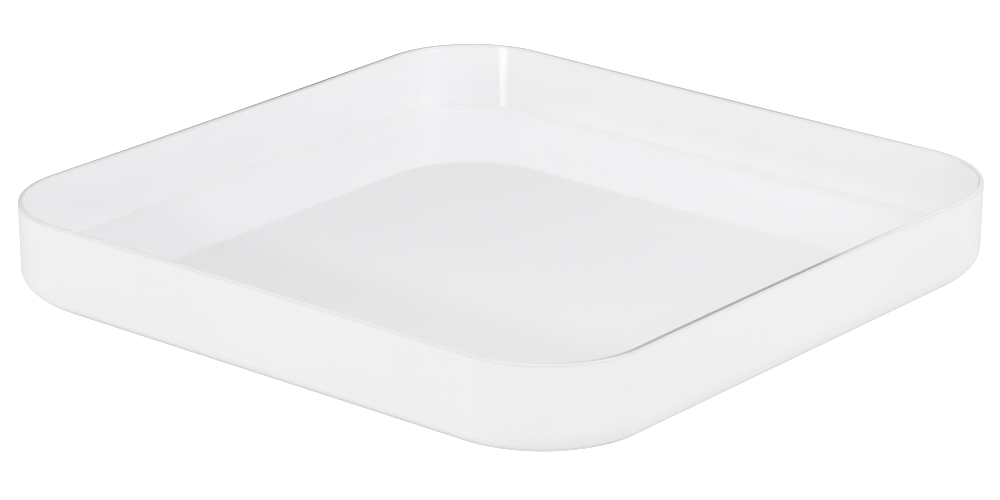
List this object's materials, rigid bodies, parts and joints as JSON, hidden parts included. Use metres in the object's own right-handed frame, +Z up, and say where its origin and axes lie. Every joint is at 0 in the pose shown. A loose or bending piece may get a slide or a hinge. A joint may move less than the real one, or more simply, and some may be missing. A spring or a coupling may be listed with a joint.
{
  "type": "lazy susan turntable",
  "caption": "Square rimmed tray with rounded corners that turns on a round base hidden under its raised floor, on a ring of steel balls in a cage.",
  "frame": {"origin": "on the turning axis, at the level of the surface that the feet stand on", "axes": "+Z up along the turning axis, X and Y along the tray's sides"},
  "size_m": [0.3, 0.3, 0.0415],
  "materials": {
    "gloss_white": "high-gloss injection-moulded white",
    "matt_white": "fine matt moulded texture",
    "acetal": "smooth natural acetal, slightly waxy",
    "rubber": "matt grey anti-slip rubber",
    "steel": "zinc-plated steel",
    "bearing_steel": "polished bearing steel"
  },
  "bodies": {
    "base": {"base_plate": "matt_white", "pivot_bush": "acetal", "foot_1": "rubber", "foot_2": "rubber", "foot_3": "rubber", "foot_4": "rubber", "foot_5": "rubber", "foot_6": "rubber"},
    "tray": {"tray_shell": "gloss_white", "floor_panel": "gloss_white", "pivot_washer": "steel", "pivot_screw": "steel", "panel_screw_1": "steel", "panel_screw_2": "steel", "panel_screw_3": "steel", "panel_screw_4": "steel", "panel_screw_5": "steel", "panel_screw_6": "steel", "panel_screw_7": "steel", "panel_screw_8": "steel"},
    "cage": {"ball_cage": "acetal"},
    "rolling_ball_01": {"ball_01": "bearing_steel"},
    "rolling_ball_02": {"ball_02": "bearing_steel"},
    "rolling_ball_03": {"ball_03": "bearing_steel"},
    "rolling_ball_04": {"ball_04": "bearing_steel"},
    "rolling_ball_05": {"ball_05": "bearing_steel"},
    "rolling_ball_06": {"ball_06": "bearing_steel"},
    "rolling_ball_07": {"ball_07": "bearing_steel"},
    "rolling_ball_08": {"ball_08": "bearing_steel"},
    "rolling_ball_09": {"ball_09": "bearing_steel"},
    "rolling_ball_10": {"ball_10": "bearing_steel"},
    "rolling_ball_11": {"ball_11": "bearing_steel"},
    "rolling_ball_12": {"ball_12": "bearing_steel"},
    "rolling_ball_13": {"ball_13": "bearing_steel"},
    "rolling_ball_14": {"ball_14": "bearing_steel"},
    "rolling_ball_15": {"ball_15": "bearing_steel"},
    "rolling_ball_16": {"ball_16": "bearing_steel"}
  },
  "joints": [
    {"name": "tray_spin", "type": "hinge", "parent": "base", "child": "tray", "pos_m": [0, 0, 0], "axis": [0, 0, 1], "continuous": true},
    {"name": "cage_spin", "type": "hinge", "parent": "base", "child": "cage", "pos_m": [0, 0, 0], "axis": [0, 0, 1], "continuous": true},
    {"name": "ball_01_roll", "type": "hinge", "parent": "cage", "child": "rolling_ball_01", "pos_m": [0.08, 0, 0.0073], "axis": [1, 0, 0], "continuous": true},
    {"name": "ball_02_roll", "type": "hinge", "parent": "cage", "child": "rolling_ball_02", "pos_m": [0.07391, 0.03061, 0.0073], "axis": [0.9239, 0.3827, 0], "continuous": true},
    {"name": "ball_03_roll", "type": "hinge", "parent": "cage", "child": "rolling_ball_03", "pos_m": [0.05657, 0.05657, 0.0073], "axis": [0.7071, 0.7071, 0], "continuous": true},
    {"name": "ball_04_roll", "type": "hinge", "parent": "cage", "child": "rolling_ball_04", "pos_m": [0.03061, 0.07391, 0.0073], "axis": [0.3827, 0.9239, 0], "continuous": true},
    {"name": "ball_05_roll", "type": "hinge", "parent": "cage", "child": "rolling_ball_05", "pos_m": [0, 0.08, 0.0073], "axis": [0, 1, 0], "continuous": true},
    {"name": "ball_06_roll", "type": "hinge", "parent": "cage", "child": "rolling_ball_06", "pos_m": [-0.03061, 0.07391, 0.0073], "axis": [-0.3827, 0.9239, 0], "continuous": true},
    {"name": "ball_07_roll", "type": "hinge", "parent": "cage", "child": "rolling_ball_07", "pos_m": [-0.05657, 0.05657, 0.0073], "axis": [-0.7071, 0.7071, 0], "continuous": true},
    {"name": "ball_08_roll", "type": "hinge", "parent": "cage", "child": "rolling_ball_08", "pos_m": [-0.07391, 0.03061, 0.0073], "axis": [-0.9239, 0.3827, 0], "continuous": true},
    {"name": "ball_09_roll", "type": "hinge", "parent": "cage", "child": "rolling_ball_09", "pos_m": [-0.08, 0, 0.0073], "axis": [-1, 0, 0], "continuous": true},
    {"name": "ball_10_roll", "type": "hinge", "parent": "cage", "child": "rolling_ball_10", "pos_m": [-0.07391, -0.03061, 0.0073], "axis": [-0.9239, -0.3827, 0], "continuous": true},
    {"name": "ball_11_roll", "type": "hinge", "parent": "cage", "child": "rolling_ball_11", "pos_m": [-0.05657, -0.05657, 0.0073], "axis": [-0.7071, -0.7071, 0], "continuous": true},
    {"name": "ball_12_roll", "type": "hinge", "parent": "cage", "child": "rolling_ball_12", "pos_m": [-0.03061, -0.07391, 0.0073], "axis": [-0.3827, -0.9239, 0], "continuous": true},
    {"name": "ball_13_roll", "type": "hinge", "parent": "cage", "child": "rolling_ball_13", "pos_m": [0, -0.08, 0.0073], "axis": [0, -1, 0], "continuous": true},
    {"name": "ball_14_roll", "type": "hinge", "parent": "cage", "child": "rolling_ball_14", "pos_m": [0.03061, -0.07391, 0.0073], "axis": [0.3827, -0.9239, 0], "continuous": true},
    {"name": "ball_15_roll", "type": "hinge", "parent": "cage", "child": "rolling_ball_15", "pos_m": [0.05657, -0.05657, 0.0073], "axis": [0.7071, -0.7071, 0], "continuous": true},
    {"name": "ball_16_roll", "type": "hinge", "parent": "cage", "child": "rolling_ball_16", "pos_m": [0.07391, -0.03061, 0.0073], "axis": [0.9239, -0.3827, 0], "continuous": true}
  ],
  "couplings": [
    {"joint": "cage_spin", "follows": "tray_spin", "ratio": 0.5},
    {"joint": "ball_01_roll", "follows": "tray_spin", "ratio": -16},
    {"joint": "ball_02_roll", "follows": "tray_spin", "ratio": -16},
    {"joint": "ball_03_roll", "follows": "tray_spin", "ratio": -16},
    {"joint": "ball_04_roll", "follows": "tray_spin", "ratio": -16},
    {"joint": "ball_05_roll", "follows": "tray_spin", "ratio": -16},
    {"joint": "ball_06_roll", "follows": "tray_spin", "ratio": -16},
    {"joint": "ball_07_roll", "follows": "tray_spin", "ratio": -16},
    {"joint": "ball_08_roll", "follows": "tray_spin", "ratio": -16},
    {"joint": "ball_09_roll", "follows": "tray_spin", "ratio": -16},
    {"joint": "ball_10_roll", "follows": "tray_spin", "ratio": -16},
    {"joint": "ball_11_roll", "follows": "tray_spin", "ratio": -16},
    {"joint": "ball_12_roll", "follows": "tray_spin", "ratio": -16},
    {"joint": "ball_13_roll", "follows": "tray_spin", "ratio": -16},
    {"joint": "ball_14_roll", "follows": "tray_spin", "ratio": -16},
    {"joint": "ball_15_roll", "follows": "tray_spin", "ratio": -16},
    {"joint": "ball_16_roll", "follows": "tray_spin", "ratio": -16}
  ]
}
